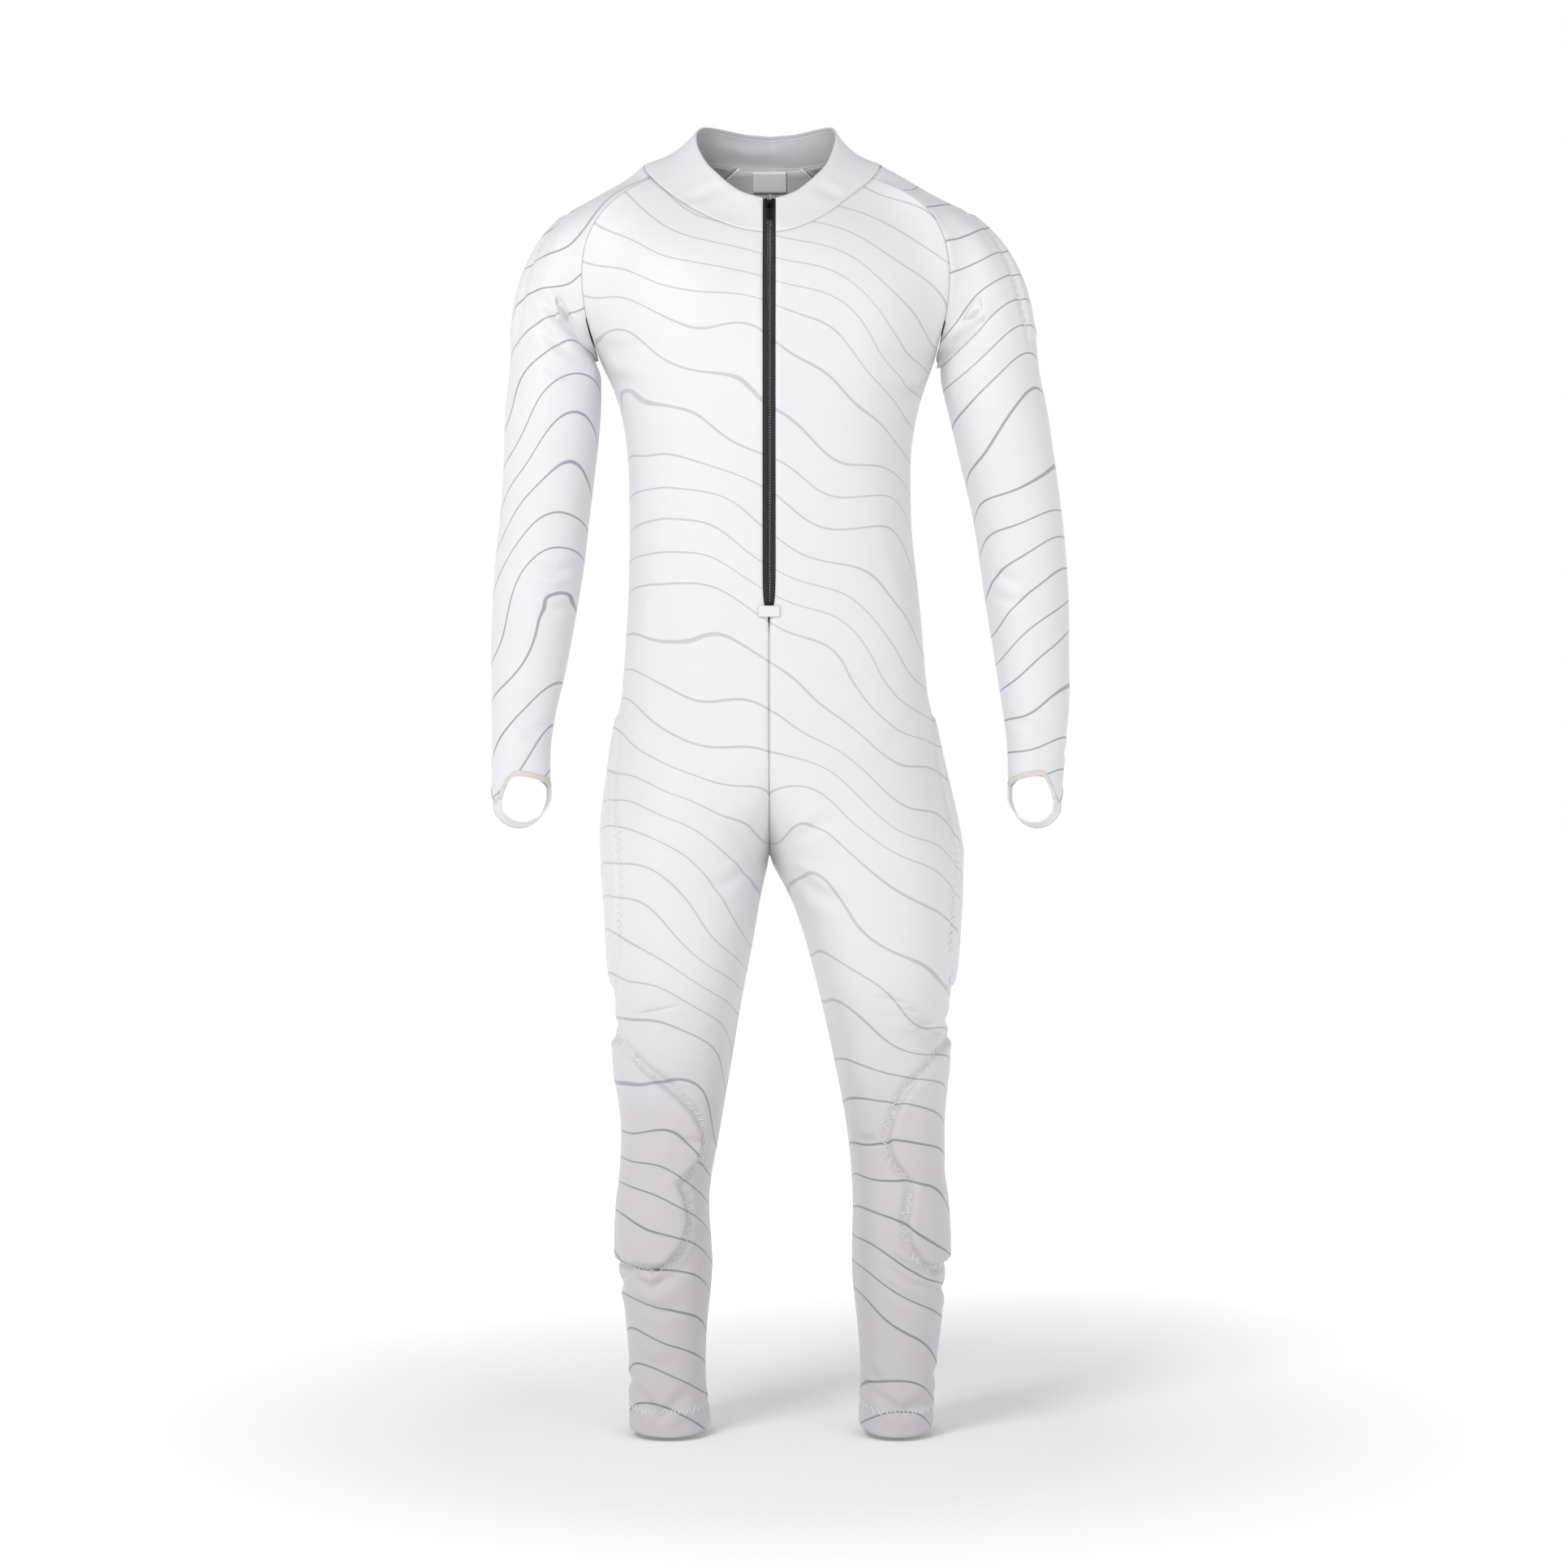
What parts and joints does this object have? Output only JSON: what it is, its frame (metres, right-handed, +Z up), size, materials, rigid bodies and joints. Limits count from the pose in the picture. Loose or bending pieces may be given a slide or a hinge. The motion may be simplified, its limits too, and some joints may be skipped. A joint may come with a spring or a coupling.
{
  "type": "race suit",
  "caption": "One-piece ski race suit of padded stretch knit with a stand collar, front zip and hand loops, filled out as if worn and open at neck, hands and ankles.",
  "frame": {"origin": "base of the wearer's neck, on the suit's centre line, between the collar seam's front and back", "axes": "+Z up along the wearer, -Y out of the chest, +X to the wearer's left"},
  "size_m": [0.6426, 0.2495, 1.457],
  "materials": {
    "shell_cloth": "white warp-knit stretch cloth with a soft sheen, brushed inside",
    "pad_foam": "grey closed-cell foam faced with knit",
    "zip_tape": "black woven polyester tape",
    "zip_metal": "black coated zip metal, satin",
    "label_satin": "blank white satin"
  },
  "bodies": {
    "suit": {"front_right": "shell_cloth", "back_right": "shell_cloth", "sleeve_right": "shell_cloth", "wrist_strap_right": "shell_cloth", "front_left": "shell_cloth", "back_left": "shell_cloth", "sleeve_left": "shell_cloth", "wrist_strap_left": "shell_cloth", "collar": "shell_cloth", "shoulder_pad_right": "pad_foam", "forearm_pad_right": "pad_foam", "hip_pad_right": "pad_foam", "knee_pad_right": "pad_foam", "shoulder_pad_left": "pad_foam", "forearm_pad_left": "pad_foam", "hip_pad_left": "pad_foam", "knee_pad_left": "pad_foam", "zip_tape_right": "zip_tape", "zip_tape_left": "zip_tape", "zip_top_stop_right": "zip_metal", "zip_top_stop_left": "zip_metal", "zip_chain": "zip_metal", "zip_slider": "zip_metal", "zip_bottom_stop": "zip_metal", "neck_label": "label_satin"},
    "pull_tab": {"zip_pull_tab": "zip_metal"}
  },
  "joints": [
    {"name": "pull_tab_swing", "type": "hinge", "parent": "suit", "child": "pull_tab", "pos_m": [0, -0.06692, -0.0488], "axis": [-1, 0, 0], "range_deg": [0, 150]}
  ]
}
